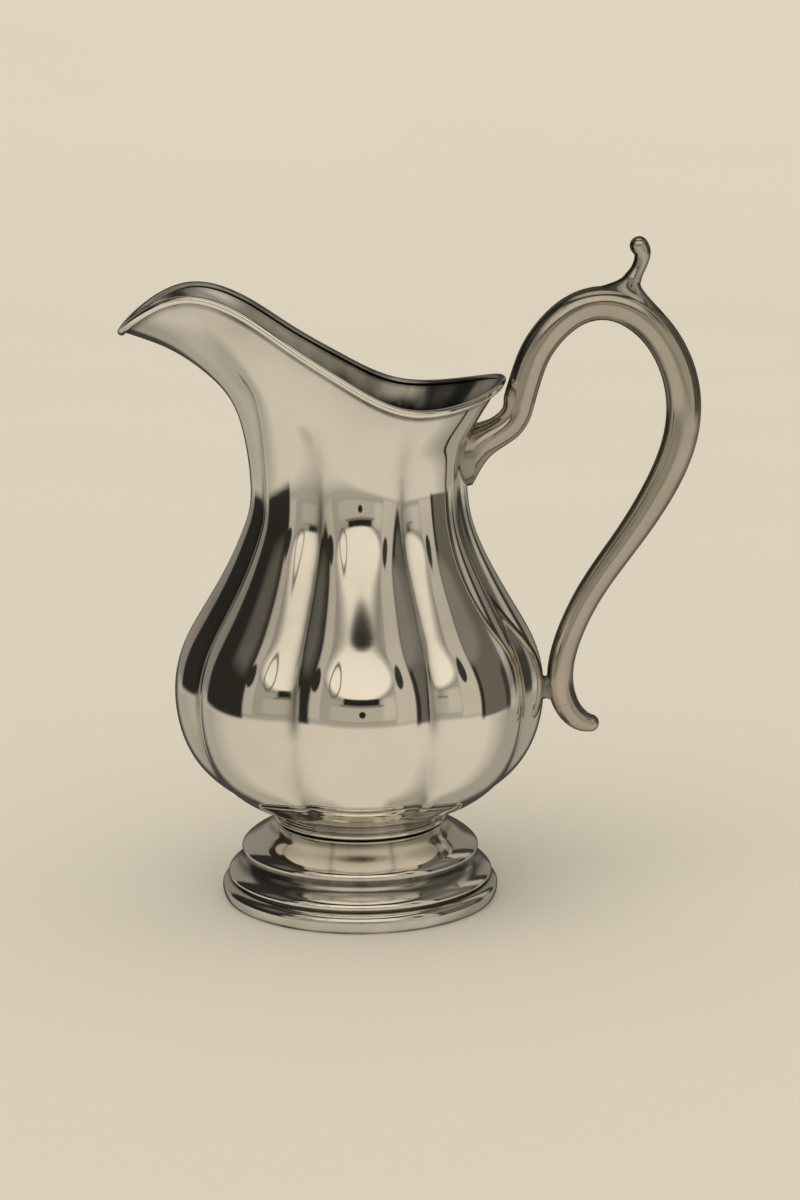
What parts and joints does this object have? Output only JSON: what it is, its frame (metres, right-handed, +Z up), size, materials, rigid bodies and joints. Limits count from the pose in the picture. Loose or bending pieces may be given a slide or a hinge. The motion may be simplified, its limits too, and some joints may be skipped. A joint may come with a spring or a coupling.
{
  "type": "water_pitcher",
  "caption": "Lobed silver water pitcher with a bellied body, broad pouring spout, wavy wire-edged mouth, stepped round foot, hollow scroll handle and curled thumb spur",
  "frame": {"origin": "middle of the footprint of the whole pitcher, handle and spout counted, on the surface it stands on", "axes": "+Z up, spout towards -X, handle towards +X, symmetric left to right about the XZ plane"},
  "size_m": [0.2192, 0.1416, 0.2537],
  "materials": {
    "polished_body_silver": "mirror-polished silver sheet with fine hand-buffing swirls",
    "plain_disc_silver": "plain silver sheet, left as planished, dull inside the foot",
    "rim_wire_silver": "polished round silver wire, worn bright",
    "collar_silver": "turned and polished silver, darker in the throat",
    "spun_foot_silver": "spun and polished silver with faint turning rings",
    "base_ring_silver": "drawn silver ring, polished, with small resting scuffs",
    "cast_root_silver": "cast and filed silver, polished, tarnish in the join",
    "left_half_silver": "stamped silver half tube, satin-bright from handling",
    "right_half_silver": "stamped silver half tube, satin-bright from handling",
    "scroll_tip_silver": "cast silver, polished",
    "lower_pad_silver": "solder pad, slightly frosted silver",
    "thumb_spur_silver": "cast silver, polished by thumbs"
  },
  "bodies": {
    "root": {"body_shell": "polished_body_silver", "body_base_disc": "plain_disc_silver", "mouth_rim_wire": "rim_wire_silver", "foot_collar": "collar_silver", "foot_pedestal": "spun_foot_silver", "foot_base_ring": "base_ring_silver", "handle_root": "cast_root_silver", "handle_left_half": "left_half_silver", "handle_right_half": "right_half_silver", "handle_scroll_tip": "scroll_tip_silver", "handle_lower_pad": "lower_pad_silver", "thumb_spur": "thumb_spur_silver"}
  },
  "joints": []
}
